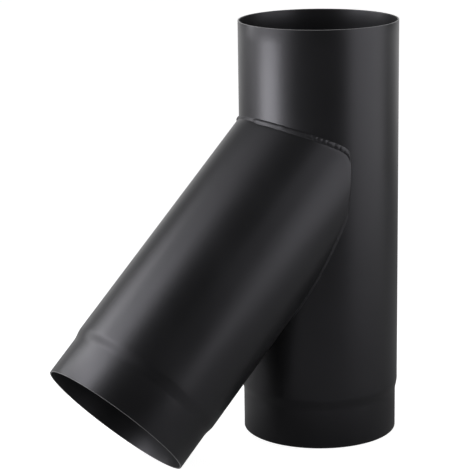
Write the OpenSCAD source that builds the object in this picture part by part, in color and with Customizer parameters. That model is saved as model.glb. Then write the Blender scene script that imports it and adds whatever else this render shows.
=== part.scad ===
// Stove pipe tee: a straight run of black sheet steel pipe with a branch that
// leaves it at a slant and is welded on along its saddle-shaped joint.
// The run stands along +Z, the origin is the centre of its lower end, and the
// branch goes down towards -X. All lengths are in millimetres.

/* [Pipe] */
// Inside diameter of the run and of the branch
bore_d = 150; // [120:1:165]
// Thickness of the sheet steel
sheet = 1.5; // [1:0.1:2.5]
// Radius on the edges of each open rim
rim_round = 0.35; // [0.1:0.05:0.45]

/* [Spigots] */
// Play on the radius between a spigot and the socket that it goes into
spigot_play = 0.3; // [0.1:0.05:0.5]
// Straight length of each spigot
spigot_len = 37; // [25:1:55]
// Length of the swage from a spigot to the full pipe
swage_len = 13; // [6:1:20]

/* [Run] */
// Length of the run from its lower end to its top rim
run_len = 403.5; // [390:0.5:600]
// Height above the lower end at which the two axes cross
cross_h = 282.8; // [265:0.1:330]

/* [Branch] */
// Angle between the run and the branch
branch_angle = 46.3; // [42:0.1:60]
// Height of the branch's lowest rim point above the run's lower end
mouth_lift = 0.3; // [0.2:0.1:40]
// Width of the lip that the hole in the run leaves inside the branch
hole_lip = 2; // [1:0.5:5]

/* [Weld] */
// Gap under the branch's end before it is welded
root_gap = 0.3; // [0.2:0.05:0.6]
// Width of the bead on each pipe, from the edge of the branch's sheet to its toe
bead_leg = 2; // [1.5:0.1:4]
// Rise of the bead's crown over that edge
bead_crown = 0.4; // [0.25:0.05:1.5]
// Play that keeps the bead's facets out of the round walls
bead_play = 0.12; // [0.1:0.01:0.2]

/* [Hidden] */

bore_r = bore_d / 2;
pipe_r = bore_r + sheet;
spigot_r = bore_r - spigot_play;
stand_r = pipe_r + root_gap;
branch_len = (cross_h - mouth_lift - spigot_r * sin(branch_angle)) / cos(branch_angle);

swage_steps = 10;
round_steps = 3;
saddle_steps = 48;
bead_steps = 208;
crown_steps = 4;
bead_ease = 6;

// Directions of the branch: along it away from the run, and square to it, up and to the front
along = [-sin(branch_angle), 0, -cos(branch_angle)];
above = [-cos(branch_angle), 0, sin(branch_angle)];
front = [0, -1, 0];
crossing = [0, 0, cross_h];

function unit(v) = v / norm(v);

// Outside radius of a pipe at a distance from its spigot's end: the swage is a soft S
function swage_share(d) = d <= 0 ? 0 : d >= swage_len ? 1 : (1 - cos(180 * d / swage_len)) / 2;
function outside_r(d) = spigot_r + (pipe_r - spigot_r) * swage_share(d - spigot_len);

// One rounded corner of the sheet's edge, as an arc round its centre
function edge_arc(centre, from) = [
    for (i = [0:round_steps])
        centre + rim_round * [cos(from - 90 * i / round_steps), sin(from - 90 * i / round_steps)]
];

// Section through the wall of a pipe of this length, with its spigot at the bottom
module wall_section(length) {
    swage = [for (i = [0:swage_steps]) spigot_len + swage_len * i / swage_steps];
    polygon(concat(
        edge_arc([spigot_r - rim_round, rim_round], 0),
        edge_arc([spigot_r - sheet + rim_round, rim_round], -90),
        [for (d = swage) [outside_r(d) - sheet, d]],
        edge_arc([bore_r + rim_round, length - rim_round], 180),
        edge_arc([pipe_r - rim_round, length - rim_round], 90),
        [for (i = [swage_steps:-1:0]) [outside_r(swage[i]), swage[i]]]
    ));
}

// Turns what stands along +Z with its end at the origin into the branch's place:
// the end is at the branch's mouth, and +Z runs back up to the crossing
module at_branch() {
    translate(crossing + branch_len * along)
        rotate([0, branch_angle, 0])
            children();
}

// Distance along the branch from the crossing to its end, for a height q over its
// axis: the inner edge stands off the run by the root gap
function saddle_reach(q) =
    (sqrt(min(pow(stand_r, 2) - pow(bore_r, 2) + q * q, pow(stand_r, 2))) - q * cos(branch_angle))
    / sin(branch_angle);
function side_view(p) = [p.x, p.z];

// Everything on the run's side of the branch's end, cut square across the sheet
module saddle_cut() {
    heights = [for (i = [0:saddle_steps]) bore_r * (1 - 2 * i / saddle_steps)];
    saddle = [for (q = heights) side_view(crossing + q * above + saddle_reach(q) * along)];
    top = cross_h + 3 * pipe_r;
    bottom = cross_h - 4 * pipe_r;
    rotate([90, 0, 0])
        linear_extrude(height = 4 * pipe_r, center = true)
            polygon(concat(
                [[-stand_r, top]],
                saddle,
                [[-stand_r, bottom], [2 * pipe_r, bottom], [2 * pipe_r, top]]
            ));
}

// Where the branch's bore meets the outside of the run, at an angle round the branch
function joint_point(a) =
    crossing
    + bore_r * (cos(a) * above + sin(a) * front)
    + (sqrt(pow(pipe_r, 2) - pow(bore_r * sin(a), 2)) - bore_r * cos(a) * cos(branch_angle))
    / sin(branch_angle) * along;

// Outer edge of the branch's end, a hair outside the wall
function wall_edge(a) =
    crossing
    + (pipe_r + bead_play) * (cos(a) * above + sin(a) * front)
    + (saddle_reach((pipe_r + bead_play) * cos(a)) - bead_play) * along;

// The same edge with its corners eased, which the bead's toes follow
function eased_edge(a) = (wall_edge(a - bead_ease) + 2 * wall_edge(a) + wall_edge(a + bead_ease)) / 4;

// Moves a point square to an axis until it lies a hair over a pipe's outside
function on_run(p) = let (r = norm([p.x, p.y])) [p.x, p.y, 0] * (pipe_r + bead_play) / r + [0, 0, p.z];
function on_branch(p) =
    let (
        far = (p - crossing) * along,
        off = p - crossing - far * along
    )
    crossing + far * along + off * (pipe_r + bead_play) / norm(off);

// One section of the bead: toe on the run, root, wall edge, toe on the branch and crown
function bead_section(a) =
    let (
        joint = joint_point(a),
        way = unit(joint_point(a + 0.05) - joint_point(a - 0.05)),
        run_out = unit([joint.x, joint.y, 0]),
        branch_out = cos(a) * above + sin(a) * front,
        run_toe = on_run(on_run(eased_edge(a)) + bead_leg * unit(cross(run_out, way))),
        branch_toe = on_branch(eased_edge(a) + bead_leg * unit(cross(way, branch_out))),
        edge = wall_edge(a),
        out = unit(run_out + branch_out),
        middle = (run_toe + branch_toe) / 2,
        rise = max((edge - middle) * out, 0) + bead_crown
    )
    concat(
        [run_toe, on_run(edge), edge, branch_toe],
        [
            for (i = [1:crown_steps])
                let (t = i / (crown_steps + 1))
                branch_toe * (1 - t) + run_toe * t + out * rise * 4 * t * (1 - t)
        ]
    );

module run_pipe() {
    color([0.06, 0.06, 0.06])
        difference() {
            rotate_extrude($fn = 180)
                wall_section(run_len);
            translate(crossing)
                rotate([0, branch_angle, 0])
                    rotate([180, 0, 0])
                        cylinder(r = bore_r - hole_lip, h = branch_len, $fn = 180);
        }
}

module branch_pipe() {
    color([0.07, 0.07, 0.07])
        difference() {
            at_branch()
                rotate_extrude($fn = 180)
                    wall_section(branch_len);
            saddle_cut();
        }
}

module weld_bead() {
    sections = [for (i = [0:bead_steps - 1]) bead_section(360 * i / bead_steps)];
    side = len(sections[0]);
    color([0.1, 0.1, 0.1])
        polyhedron(
            points = [for (section = sections) each section],
            faces = [
                for (i = [0:bead_steps - 1])
                    for (j = [0:side - 1])
                        let (
                            here = i * side,
                            next = ((i + 1) % bead_steps) * side,
                            k = (j + 1) % side
                        )
                        each [[here + j, here + k, next + k], [here + j, next + k, next + j]]
            ]
        );
}

run_pipe();
branch_pipe();
weld_bead();
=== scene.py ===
import math

import bpy
from mathutils import Matrix, Vector, noise


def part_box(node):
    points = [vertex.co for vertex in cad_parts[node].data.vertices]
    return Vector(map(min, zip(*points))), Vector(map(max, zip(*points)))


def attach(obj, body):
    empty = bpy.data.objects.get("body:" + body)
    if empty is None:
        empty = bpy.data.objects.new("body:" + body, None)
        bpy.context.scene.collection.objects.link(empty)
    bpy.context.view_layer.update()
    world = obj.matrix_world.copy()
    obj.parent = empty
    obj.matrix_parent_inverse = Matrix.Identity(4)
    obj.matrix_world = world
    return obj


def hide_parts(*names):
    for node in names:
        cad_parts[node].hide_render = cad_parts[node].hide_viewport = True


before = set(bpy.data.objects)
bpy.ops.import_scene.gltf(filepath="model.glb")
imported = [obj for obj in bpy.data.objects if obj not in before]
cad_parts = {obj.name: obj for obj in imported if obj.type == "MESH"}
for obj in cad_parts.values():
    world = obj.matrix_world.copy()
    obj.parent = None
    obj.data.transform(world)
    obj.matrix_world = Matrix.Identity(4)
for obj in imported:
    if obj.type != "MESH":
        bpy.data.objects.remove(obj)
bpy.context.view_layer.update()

# The studio: a camera with a long lens on the tee's left front, a plain pale floor in a white
# room, and upright soft boxes at both sides. Behind the camera it is dim, so that only what
# lies behind the tee mirrors as white.
bpy.context.scene.view_settings.view_transform = "Standard"

CAMERA_AZIMUTH = math.radians(-38.17)
CAMERA_DISTANCE = 1.814
CAMERA_HEIGHT = 0.646
CAMERA_TURN = math.radians(2.49)
CAMERA_TILT = math.radians(14.1)
CAMERA_ROLL = math.radians(0.79)
FOCAL_LENGTH = 145.16
SENSOR_WIDTH = 36.0
FLOOR_SIZE = 12.0
FLOOR_DROP = 0.0004
FLOOR_GREY = 0.5
FLOOR_GLOW_NEAR = 0.88
FLOOR_GLOW_FAR = 1.0
ROOM_LIGHT = 0.03
WHITE = (1, 1, 1, 1)

camera_data = bpy.data.cameras.new("camera")
camera = bpy.data.objects.new("camera", camera_data)
bpy.context.scene.collection.objects.link(camera)
bpy.context.scene.camera = camera
camera_data.lens = FOCAL_LENGTH
camera_data.sensor_width = SENSOR_WIDTH
camera_data.clip_start = 0.05
camera_data.clip_end = 60
camera.location = (
    CAMERA_DISTANCE * math.sin(CAMERA_AZIMUTH),
    -CAMERA_DISTANCE * math.cos(CAMERA_AZIMUTH),
    CAMERA_HEIGHT,
)
heading = Matrix.Rotation(CAMERA_AZIMUTH + CAMERA_TURN, 3, "Z")
tilt = Matrix.Rotation(math.pi / 2 - CAMERA_TILT, 3, "X")
roll = Matrix.Rotation(-CAMERA_ROLL, 3, "Z")
camera.rotation_euler = (heading @ tilt @ roll).to_euler()


def soft_box(name, turn, distance, width, low, high, power):
    """An upright area lamp that faces the run, at a turn in degrees from the camera's side."""
    lamp_data = bpy.data.lights.new(name, "AREA")
    lamp = bpy.data.objects.new(name, lamp_data)
    bpy.context.scene.collection.objects.link(lamp)
    lamp_data.shape = "RECTANGLE"
    lamp_data.size = width
    lamp_data.size_y = high - low
    lamp_data.energy = power
    angle = CAMERA_AZIMUTH + math.radians(turn)
    lamp.location = (distance * math.sin(angle), -distance * math.cos(angle), (low + high) / 2)
    lamp.rotation_euler = (math.pi / 2, 0, angle)


soft_box("left_wall", -74, 1.0, 1.36, 0.02, 1.7, 6.2)
soft_box("left_middle", -79, 0.98, 0.95, 0.63, 0.98, 5.7)
soft_box("left_low", -72, 0.98, 0.5, 0.01, 0.28, 4.2)
soft_box("left_top", -65, 0.98, 0.52, 0.98, 1.33, 2.8)
soft_box("left_side", -106, 0.98, 0.3, 0.3, 1.0, 1.8)
soft_box("right_wall", 73, 1.0, 1.18, 0.02, 1.28, 8.0)
soft_box("right_top", 65, 0.98, 1.5, 0.92, 1.28, 3.1)

camera_side = Vector((math.sin(CAMERA_AZIMUTH), -math.cos(CAMERA_AZIMUTH), 0))


def behind_mask(nodes, links, coordinate, near, far):
    """A mask that rises from 0 to 1 with the distance behind the tee, on its far side."""
    place = nodes.new("ShaderNodeTexCoord")
    away = nodes.new("ShaderNodeVectorMath")
    away.operation = "DOT_PRODUCT"
    away.inputs[1].default_value = -camera_side
    links.new(place.outputs[coordinate], away.inputs[0])
    ramp = nodes.new("ShaderNodeMapRange")
    ramp.interpolation_type = "SMOOTHSTEP"
    ramp.inputs["From Min"].default_value = near
    ramp.inputs["From Max"].default_value = far
    links.new(away.outputs["Value"], ramp.inputs["Value"])
    return ramp.outputs["Result"]


def seen_share(nodes, links, behind):
    """1 for camera and transmission rays, and the mask of what is behind for glossy rays."""
    rays = nodes.new("ShaderNodeLightPath")
    direct = nodes.new("ShaderNodeMath")
    direct.operation = "ADD"
    direct.use_clamp = True
    links.new(rays.outputs["Is Camera Ray"], direct.inputs[0])
    links.new(rays.outputs["Is Transmission Ray"], direct.inputs[1])
    mirrored = nodes.new("ShaderNodeMath")
    mirrored.operation = "MULTIPLY_ADD"
    mirrored.use_clamp = True
    links.new(rays.outputs["Is Glossy Ray"], mirrored.inputs[0])
    links.new(behind, mirrored.inputs[1])
    links.new(direct.outputs["Value"], mirrored.inputs[2])
    return mirrored.outputs["Value"]


world = bpy.data.worlds.new("studio")
bpy.context.scene.world = world
world.use_nodes = True
world_nodes = world.node_tree.nodes
world_links = world.node_tree.links
world_nodes.clear()
room_light = world_nodes.new("ShaderNodeBackground")
room_light.inputs["Color"].default_value = WHITE
room_light.inputs["Strength"].default_value = ROOM_LIGHT
seen_white = world_nodes.new("ShaderNodeBackground")
seen_white.inputs["Color"].default_value = WHITE
seen_white.inputs["Strength"].default_value = 1.0
choose = world_nodes.new("ShaderNodeMixShader")
world_out = world_nodes.new("ShaderNodeOutputWorld")
behind = behind_mask(world_nodes, world_links, "Generated", 0.6, 1.0)
world_links.new(seen_share(world_nodes, world_links, behind), choose.inputs["Fac"])
world_links.new(room_light.outputs["Background"], choose.inputs[1])
world_links.new(seen_white.outputs["Background"], choose.inputs[2])
world_links.new(choose.outputs["Shader"], world_out.inputs["Surface"])

bpy.ops.object.select_all(action="DESELECT")
bpy.ops.mesh.primitive_plane_add(size=FLOOR_SIZE, location=(0, 0, -FLOOR_DROP))
floor = bpy.context.object
floor.name = "floor"
floor_finish = bpy.data.materials.new("white_floor")
floor_finish.use_nodes = True
floor_nodes = floor_finish.node_tree.nodes
floor_links = floor_finish.node_tree.links
floor_nodes.clear()
matt_grey = floor_nodes.new("ShaderNodeBsdfDiffuse")
matt_grey.inputs["Color"].default_value = (FLOOR_GREY, FLOOR_GREY, FLOOR_GREY, 1)
own_white = floor_nodes.new("ShaderNodeEmission")
own_white.inputs["Color"].default_value = WHITE
floor_place = floor_nodes.new("ShaderNodeTexCoord")
off_centre = floor_nodes.new("ShaderNodeVectorMath")
off_centre.operation = "LENGTH"
floor_links.new(floor_place.outputs["Object"], off_centre.inputs[0])
brighter = floor_nodes.new("ShaderNodeMapRange")
brighter.interpolation_type = "SMOOTHSTEP"
brighter.inputs["From Min"].default_value = 0.3
brighter.inputs["From Max"].default_value = 1.3
brighter.inputs["To Min"].default_value = FLOOR_GLOW_NEAR
brighter.inputs["To Max"].default_value = FLOOR_GLOW_FAR
floor_links.new(off_centre.outputs["Value"], brighter.inputs["Value"])
floor_links.new(brighter.outputs["Result"], own_white.inputs["Strength"])
both = floor_nodes.new("ShaderNodeAddShader")
floor_choice = floor_nodes.new("ShaderNodeMixShader")
floor_out = floor_nodes.new("ShaderNodeOutputMaterial")
floor_links.new(matt_grey.outputs["BSDF"], both.inputs[0])
floor_links.new(own_white.outputs["Emission"], both.inputs[1])
behind = behind_mask(floor_nodes, floor_links, "Object", 0.5, 2.2)
floor_links.new(seen_share(floor_nodes, floor_links, behind), floor_choice.inputs["Fac"])
floor_links.new(matt_grey.outputs["BSDF"], floor_choice.inputs[1])
floor_links.new(both.outputs["Shader"], floor_choice.inputs[2])
floor_links.new(floor_choice.outputs["Shader"], floor_out.inputs["Surface"])
floor.data.materials.append(floor_finish)

# The run: one sheet of 1.5 mm steel rolled to a 150 mm bore, swaged in at its lower end to
# a spigot, with an oval hole cut under the branch. It is sprayed with satin black stove
# paint, worn thin on the cut edges of its rims, where a lighter grey also paints a highlight.
BORE_RADIUS = 0.075
SHEET = 0.0015
PIPE_RADIUS = BORE_RADIUS + SHEET
SPIGOT_PLAY = 0.0003
SPIGOT_RADIUS = BORE_RADIUS - SPIGOT_PLAY
SPIGOT_LENGTH = 0.037
SWAGE_LENGTH = 0.013
RIM_ROUND = 0.00035
HOLE_LIP = 0.002
HOLE_REACH = 0.16
PIPE_SIDES = 288
SWAGE_ROWS = 12
RUN_ROWS = 24
SMOOTH_BELOW = math.radians(28)
STOVE_BLACK = (0.0085, 0.0085, 0.0092)
STOVE_ROUGHNESS = 0.36
STOVE_GRAIN = 0.25
# Lighter grey of the rims' cut edges: worn paint, and a painted highlight of the edge.
WORN_AND_HIGHLIGHT_GREY = (0.12, 0.12, 0.125)
WORN_AND_HIGHLIGHT_WIDTH = 0.0006
BRANCH_ANGLE = math.radians(46.3)
RUN_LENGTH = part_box("run_pipe")[1].z
CROSSING = Vector((0, 0, 0.2828))


def swage_share(distance):
    """How far the pipe has widened from the spigot, from 0 to 1, in a soft S."""
    share = min(max(distance / SWAGE_LENGTH, 0), 1)
    return (1 - math.cos(math.pi * share)) / 2


def extrude_ring(rise, widen):
    """Extrudes the selected ring up by rise and scales it round the pipe's axis."""
    bpy.ops.mesh.extrude_region_move(TRANSFORM_OT_translate={"value": (0, 0, rise)})
    bpy.ops.transform.resize(value=(widen, widen, 1))


def swaged_tube(name, length, rows):
    """The outside skin of a pipe that stands on its spigot, with its axis on Z."""
    bpy.ops.object.select_all(action="DESELECT")
    bpy.ops.mesh.primitive_circle_add(vertices=PIPE_SIDES, radius=SPIGOT_RADIUS, location=(0, 0, 0))
    tube = bpy.context.object
    tube.name = name
    bpy.ops.object.mode_set(mode="EDIT")
    bpy.ops.mesh.select_all(action="SELECT")
    extrude_ring(SPIGOT_LENGTH, 1)
    radius = SPIGOT_RADIUS
    for row in range(1, SWAGE_ROWS + 1):
        share = swage_share(SWAGE_LENGTH * row / SWAGE_ROWS)
        wider = SPIGOT_RADIUS + (PIPE_RADIUS - SPIGOT_RADIUS) * share
        extrude_ring(SWAGE_LENGTH / SWAGE_ROWS, wider / radius)
        radius = wider
    straight = length - SPIGOT_LENGTH - SWAGE_LENGTH
    for row in range(rows):
        extrude_ring(straight / rows, 1)
    bpy.ops.mesh.select_all(action="SELECT")
    bpy.ops.mesh.normals_make_consistent(inside=False)
    bpy.ops.object.mode_set(mode="OBJECT")
    return tube


def give_wall(tube):
    """Thickens the skin inwards to the sheet and rounds the edges of its rims."""
    wall = tube.modifiers.new("wall", "SOLIDIFY")
    wall.thickness = SHEET
    wall.offset = -1
    bpy.ops.object.modifier_apply(modifier=wall.name)
    rounding = tube.modifiers.new("rim", "BEVEL")
    rounding.width = RIM_ROUND
    rounding.segments = 3
    rounding.limit_method = "ANGLE"
    rounding.angle_limit = math.radians(60)
    bpy.ops.object.modifier_apply(modifier=rounding.name)


def paint_grain():
    """Node group: the fine grain and broad unevenness of sprayed paint."""
    group = bpy.data.node_groups.new("paint_grain", "ShaderNodeTree")
    group.interface.new_socket("Base", in_out="INPUT", socket_type="NodeSocketColor")
    group.interface.new_socket("Grain Height", in_out="INPUT", socket_type="NodeSocketFloat")
    group.interface.new_socket("Roughness", in_out="INPUT", socket_type="NodeSocketFloat")
    group.interface.new_socket("Color", in_out="OUTPUT", socket_type="NodeSocketColor")
    group.interface.new_socket("Rough", in_out="OUTPUT", socket_type="NodeSocketFloat")
    group.interface.new_socket("Normal", in_out="OUTPUT", socket_type="NodeSocketVector")
    nodes = group.nodes
    links = group.links
    given = nodes.new("NodeGroupInput")
    result = nodes.new("NodeGroupOutput")
    place = nodes.new("ShaderNodeTexCoord")

    grain = nodes.new("ShaderNodeTexNoise")
    grain.inputs["Scale"].default_value = 1600
    grain.inputs["Detail"].default_value = 3
    links.new(place.outputs["Object"], grain.inputs["Vector"])

    cloud = nodes.new("ShaderNodeTexNoise")
    cloud.inputs["Scale"].default_value = 14
    cloud.inputs["Detail"].default_value = 4
    links.new(place.outputs["Object"], cloud.inputs["Vector"])

    tone = nodes.new("ShaderNodeMapRange")
    tone.inputs["From Min"].default_value = 0.3
    tone.inputs["From Max"].default_value = 0.7
    tone.inputs["To Min"].default_value = 0.86
    tone.inputs["To Max"].default_value = 1.14
    links.new(cloud.outputs["Fac"], tone.inputs["Value"])
    shade = nodes.new("ShaderNodeVectorMath")
    shade.operation = "SCALE"
    links.new(given.outputs["Base"], shade.inputs[0])
    links.new(tone.outputs["Result"], shade.inputs["Scale"])
    links.new(shade.outputs["Vector"], result.inputs["Color"])

    rough_drift = nodes.new("ShaderNodeMapRange")
    rough_drift.inputs["From Min"].default_value = 0.3
    rough_drift.inputs["From Max"].default_value = 0.7
    rough_drift.inputs["To Min"].default_value = -0.025
    rough_drift.inputs["To Max"].default_value = 0.025
    links.new(cloud.outputs["Fac"], rough_drift.inputs["Value"])
    rough_sum = nodes.new("ShaderNodeMath")
    rough_sum.operation = "ADD"
    links.new(given.outputs["Roughness"], rough_sum.inputs[0])
    links.new(rough_drift.outputs["Result"], rough_sum.inputs[1])
    links.new(rough_sum.outputs["Value"], result.inputs["Rough"])

    bump = nodes.new("ShaderNodeBump")
    bump.inputs["Distance"].default_value = 0.0001
    links.new(given.outputs["Grain Height"], bump.inputs["Strength"])
    links.new(grain.outputs["Fac"], bump.inputs["Height"])
    links.new(bump.outputs["Normal"], result.inputs["Normal"])
    return group


PAINT_GRAIN = paint_grain()


def rim_wear_and_highlight():
    """Node group: a mask of the sheet's cut edge, where a rim lies across an axis, for worn paint
    and a painted highlight.
    """
    group = bpy.data.node_groups.new("rim_wear_and_highlight", "ShaderNodeTree")
    group.interface.new_socket("Axis", in_out="INPUT", socket_type="NodeSocketVector")
    group.interface.new_socket("Rim At", in_out="INPUT", socket_type="NodeSocketFloat")
    group.interface.new_socket("Width", in_out="INPUT", socket_type="NodeSocketFloat")
    group.interface.new_socket("Mask", in_out="OUTPUT", socket_type="NodeSocketFloat")
    nodes = group.nodes
    links = group.links
    given = nodes.new("NodeGroupInput")
    result = nodes.new("NodeGroupOutput")
    place = nodes.new("ShaderNodeTexCoord")
    along = nodes.new("ShaderNodeVectorMath")
    along.operation = "DOT_PRODUCT"
    links.new(place.outputs["Object"], along.inputs[0])
    links.new(given.outputs["Axis"], along.inputs[1])
    off = nodes.new("ShaderNodeMath")
    off.operation = "SUBTRACT"
    links.new(along.outputs["Value"], off.inputs[0])
    links.new(given.outputs["Rim At"], off.inputs[1])
    size = nodes.new("ShaderNodeMath")
    size.operation = "ABSOLUTE"
    links.new(off.outputs["Value"], size.inputs[0])
    fade = nodes.new("ShaderNodeMapRange")
    fade.interpolation_type = "SMOOTHSTEP"
    fade.inputs["From Min"].default_value = 0
    fade.inputs["To Min"].default_value = 1
    fade.inputs["To Max"].default_value = 0
    links.new(size.outputs["Value"], fade.inputs["Value"])
    links.new(given.outputs["Width"], fade.inputs["From Max"])
    links.new(fade.outputs["Result"], result.inputs["Mask"])
    return group


RIM_WEAR_AND_HIGHLIGHT = rim_wear_and_highlight()


def stove_paint(name, base, roughness, grain, rims=()):
    """A satin paint with the sprayed grain, worn thin and lightened as a painted highlight where a
    rim lies across an axis.
    """
    material = bpy.data.materials.new(name)
    material.use_nodes = True
    nodes = material.node_tree.nodes
    links = material.node_tree.links
    surface = nodes["Principled BSDF"]
    surface.inputs["Specular IOR Level"].default_value = 0.5
    surface.inputs["Specular Tint"].default_value = (0.93, 0.915, 1.0, 1)
    finish = nodes.new("ShaderNodeGroup")
    finish.node_tree = PAINT_GRAIN
    finish.inputs["Base"].default_value = (*base, 1)
    finish.inputs["Roughness"].default_value = roughness
    finish.inputs["Grain Height"].default_value = grain
    colour = finish.outputs["Color"]
    # Each rim's cut edge is mixed to a lighter grey: worn paint, and a painted highlight of the
    # edge.
    for axis, at in rims:
        worn_and_highlit = nodes.new("ShaderNodeGroup")
        worn_and_highlit.node_tree = RIM_WEAR_AND_HIGHLIGHT
        worn_and_highlit.inputs["Axis"].default_value = axis
        worn_and_highlit.inputs["Rim At"].default_value = at
        worn_and_highlit.inputs["Width"].default_value = WORN_AND_HIGHLIGHT_WIDTH
        blend = nodes.new("ShaderNodeMix")
        blend.data_type = "RGBA"
        blend.inputs["B"].default_value = (*WORN_AND_HIGHLIGHT_GREY, 1)
        links.new(worn_and_highlit.outputs["Mask"], blend.inputs["Factor"])
        links.new(colour, blend.inputs["A"])
        colour = blend.outputs["Result"]
    links.new(colour, surface.inputs["Base Color"])
    links.new(finish.outputs["Rough"], surface.inputs["Roughness"])
    links.new(finish.outputs["Normal"], surface.inputs["Normal"])
    return material


run = swaged_tube("run", RUN_LENGTH, RUN_ROWS)
give_wall(run)

bpy.ops.object.select_all(action="DESELECT")
branch_way = Vector((-math.sin(BRANCH_ANGLE), 0, -math.cos(BRANCH_ANGLE)))
bpy.ops.mesh.primitive_cylinder_add(
    vertices=PIPE_SIDES,
    radius=BORE_RADIUS - HOLE_LIP,
    depth=HOLE_REACH,
    location=CROSSING + branch_way * HOLE_REACH / 2,
    rotation=(0, BRANCH_ANGLE, 0),
)
hole_cutter = bpy.context.object
bpy.ops.object.select_all(action="DESELECT")
run.select_set(True)
bpy.context.view_layer.objects.active = run
hole = run.modifiers.new("hole", "BOOLEAN")
hole.operation = "DIFFERENCE"
hole.solver = "EXACT"
hole.object = hole_cutter
bpy.ops.object.modifier_apply(modifier=hole.name)
bpy.data.objects.remove(hole_cutter)
bpy.ops.object.shade_smooth_by_angle(angle=SMOOTH_BELOW)

run_rims = [((0, 0, 1), RUN_LENGTH), ((0, 0, 1), 0.0)]
run_paint = stove_paint("run_paint", STOVE_BLACK, STOVE_ROUGHNESS, STOVE_GRAIN, run_rims)
run.data.materials.append(run_paint)
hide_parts("run_pipe")
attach(run, "root")

# The branch: the same rolled sheet as the run, swaged in at its mouth. Its other end is cut
# to a saddle that follows the outside of the run, with its two tips cut back and rounded.
TIP_BACK = 0.022
TIP_SLANT = 0.12
TIP_SOFT = 0.0045
TIP_SOFT_OVER = 0.03
MOUTH_LIFT = 0.0003
BRANCH_ROWS = 40
branch_above = Vector((-math.cos(BRANCH_ANGLE), 0, math.sin(BRANCH_ANGLE)))
mouth_height = MOUTH_LIFT + SPIGOT_RADIUS * math.sin(BRANCH_ANGLE)
branch_length = (CROSSING.z - mouth_height) / math.cos(BRANCH_ANGLE)


def saddle_reach(height, side):
    """Distance from the crossing to the branch's end, at a height over its axis and a side."""
    on_wall = math.sqrt(max(PIPE_RADIUS**2 - side**2, 0))
    at_tip = TIP_BACK - TIP_SLANT * height
    soft = TIP_SOFT * min(max(1 + height / TIP_SOFT_OVER, 0.2), 1.5)
    off_run = (on_wall + at_tip + math.sqrt((on_wall - at_tip) ** 2 + soft**2)) / 2
    return (off_run - height * math.cos(BRANCH_ANGLE)) / math.sin(BRANCH_ANGLE)


branch = swaged_tube("branch", branch_length, BRANCH_ROWS)
full_from = SPIGOT_LENGTH + SWAGE_LENGTH
straight_row = (branch_length - full_from) / BRANCH_ROWS
for vertex in branch.data.vertices:
    row = (vertex.co.z - full_from) / straight_row
    if row > 0.5:
        end = branch_length - saddle_reach(-vertex.co.x, vertex.co.y)
        vertex.co.z = full_from + (end - full_from) * row / BRANCH_ROWS
branch.select_set(True)
bpy.context.view_layer.objects.active = branch
give_wall(branch)
branch.rotation_euler = (0, BRANCH_ANGLE, 0)
branch.location = CROSSING + branch_length * branch_way
bpy.ops.object.transform_apply(location=True, rotation=True, scale=True)
bpy.ops.object.shade_smooth_by_angle(angle=SMOOTH_BELOW)

branch_rims = [(branch_way, (CROSSING + branch_length * branch_way).dot(branch_way))]
branch_paint = stove_paint("branch_paint", STOVE_BLACK, STOVE_ROUGHNESS, STOVE_GRAIN, branch_rims)
branch.data.materials.append(branch_paint)
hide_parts("branch_pipe")
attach(branch, "root")

# The weld: one fillet bead of steel, laid over the sheet's edge round the saddle. It stands
# up and shows its ripples along the upper seam, is nearly flush round the tips and lumpy
# along the lower seam, and is painted with the rest.
BEAD_LEG_ON_RUN = 0.0017
BEAD_LEG_ON_BRANCH = 0.0016
BEAD_SPREAD_ON_RUN = 0.35
BEAD_SPREAD_ON_BRANCH = 1.1
BEAD_FLUSH = 0.00012
BEAD_RAISED = 0.0008
BEAD_SINK = 0.0003
CONVEX_OVER = 0.0004
FILL_OUT = 2.5
ARCH_FLUSH = 4
ARCH_WIDER = 2.7
RAISED_ZONES = ((1, 79), (-79, -30))
RIPPLED_ZONES = ((43, 73), (-72, -36))
LUMPY_ZONES = ((98, 168), (-168, -98))
TOE_WAVER = 0.12
CROWN_WAVER = 0.2
WAVER_SCALE = 160
LUMP_HEIGHT = 0.0006
LUMP_SCALE = 300
RIPPLE_PITCH = 0.0056
RIPPLE_HEIGHT = 0.0005
RIPPLE_BOW = 0.12
RIPPLE_ROUND = 0.8
RIPPLE_MIDDLE = 0.6
RIPPLE_DRIFT = 0.0022
DRIFT_SCALE = 110
TOE_DEPTH = 0.0006
ROOT_DEPTH = 0.0009
BEAD_STATIONS = 1440
BEAD_SIDES = 16
BEAD_UNDERSIDE = 3
WELD_BLACK = (0.010, 0.010, 0.0108)
WELD_ROUGHNESS = 0.44
WELD_GRAIN = 0.3
branch_front = Vector((0, -1, 0))


def on_run(point, radius):
    """The point moved square to the run's axis until it lies at a radius."""
    flat = Vector((point.x, point.y, 0)).normalized() * radius
    return Vector((flat.x, flat.y, point.z))


def on_branch(point, radius):
    """The point moved square to the branch's axis until it lies at a radius."""
    along = (point - CROSSING).dot(branch_way)
    off = point - CROSSING - along * branch_way
    return CROSSING + along * branch_way + off.normalized() * radius


def sheet_edge(angle):
    """The outer edge of the branch's sheet at its saddle, at an angle round the branch."""
    height = PIPE_RADIUS * math.cos(angle)
    side = PIPE_RADIUS * math.sin(angle)
    reach = saddle_reach(height, side)
    return CROSSING + height * branch_above + side * branch_front + reach * branch_way


def swell(angle, start, end, soft=6):
    """1 between two angles in degrees and 0 outside them, with soft ends."""
    turn = (math.degrees(angle) + 180) % 360 - 180
    rise = min(max((turn - start) / soft + 0.5, 0), 1)
    fall = min(max((end - turn) / soft + 0.5, 0), 1)
    inside = min(rise, fall)
    return inside * inside * (3 - 2 * inside)


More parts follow.
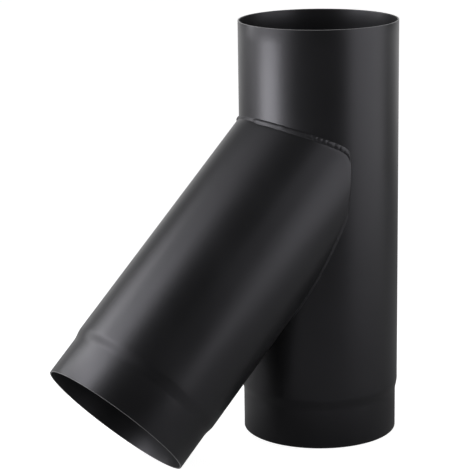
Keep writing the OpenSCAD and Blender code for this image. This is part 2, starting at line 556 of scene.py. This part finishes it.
def bead_section(angle, travelled):
    """The closed section of the bead at an angle round the branch."""
    edge = sheet_edge(angle)
    way = (sheet_edge(angle + 0.005) - sheet_edge(angle - 0.005)).normalized()
    run_out = Vector((edge.x, edge.y, 0)).normalized()
    branch_out = math.cos(angle) * branch_above + math.sin(angle) * branch_front
    out = (run_out + branch_out).normalized()
    raised = max(swell(angle, *zone) for zone in RAISED_ZONES)
    rippled = max(swell(angle, *zone, 12) for zone in RIPPLED_ZONES)
    lumpy = max(swell(angle, *zone, 12) for zone in LUMPY_ZONES)
    waver = noise.noise(edge * WAVER_SCALE)
    leg_on_run = BEAD_LEG_ON_RUN * (1 + BEAD_SPREAD_ON_RUN * raised + TOE_WAVER * waver)
    run_toe = on_run(edge, PIPE_RADIUS) + leg_on_run * run_out.cross(way)
    leg_on_branch = BEAD_LEG_ON_BRANCH * (1 + BEAD_SPREAD_ON_BRANCH * raised - TOE_WAVER * waver)
    branch_toe = edge + leg_on_branch * way.cross(branch_out)
    run_edge = on_run(run_toe, PIPE_RADIUS)
    branch_edge = on_branch(branch_toe, PIPE_RADIUS)
    convex = min(max((edge - (run_edge + branch_edge) / 2).dot(out) / CONVEX_OVER, 0), 1)
    power = 2 / (1 + FILL_OUT * convex)
    lift = BEAD_FLUSH + BEAD_RAISED * raised * (1 + CROWN_WAVER * waver)
    lift += LUMP_HEIGHT * lumpy * max(noise.noise(edge * LUMP_SCALE), 0)
    drift = RIPPLE_DRIFT * noise.noise(edge * DRIFT_SCALE)
    points = []
    top = BEAD_SIDES - BEAD_UNDERSIDE
    for step in range(top):
        turn = math.pi / 2 * step / (top - 1)
        near_run, near_branch = math.sin(turn), max(math.cos(turn), 0)
        to_branch = (branch_edge - edge) * (1 - near_run**power)
        to_run = (run_edge - edge) * (1 - near_branch**power)
        arch = (2 * near_run * near_branch) ** (ARCH_FLUSH - ARCH_WIDER * raised)
        wave = math.cos(math.pi * ((travelled + drift) / RIPPLE_PITCH + RIPPLE_BOW * arch))
        ripple = abs(wave) ** RIPPLE_ROUND - RIPPLE_MIDDLE
        height = (lift + RIPPLE_HEIGHT * rippled * ripple) * arch - BEAD_SINK * raised * (1 - arch)
        points.append(edge + to_branch + to_run + out * height)
    points.append(on_run(run_toe, PIPE_RADIUS - TOE_DEPTH))
    points.append(on_run(edge, PIPE_RADIUS - ROOT_DEPTH))
    points.append(on_branch(branch_toe, PIPE_RADIUS - TOE_DEPTH))
    return points


bpy.ops.object.select_all(action="DESELECT")
bpy.ops.mesh.primitive_grid_add(x_subdivisions=BEAD_STATIONS, y_subdivisions=BEAD_SIDES, size=1)
bead = bpy.context.object
bead.name = "bead"
sections = []
travelled = 0.0
before = sheet_edge(0)
for station in range(BEAD_STATIONS):
    angle = 2 * math.pi * station / BEAD_STATIONS
    here = sheet_edge(angle)
    travelled += (here - before).length
    before = here
    sections.append(bead_section(angle, travelled))
for vertex in bead.data.vertices:
    station = round((vertex.co.x + 0.5) * BEAD_STATIONS) % BEAD_STATIONS
    side = round((vertex.co.y + 0.5) * BEAD_SIDES) % BEAD_SIDES
    vertex.co = sections[station][side]
bpy.ops.object.mode_set(mode="EDIT")
bpy.ops.mesh.select_all(action="SELECT")
bpy.ops.mesh.remove_doubles(threshold=0.000001)
bpy.ops.mesh.normals_make_consistent(inside=False)
bpy.ops.object.mode_set(mode="OBJECT")
bpy.ops.object.shade_smooth_by_angle(angle=math.radians(50))

bead.data.materials.append(stove_paint("weld_paint", WELD_BLACK, WELD_ROUGHNESS, WELD_GRAIN))
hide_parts("weld_bead")
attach(bead, "root")
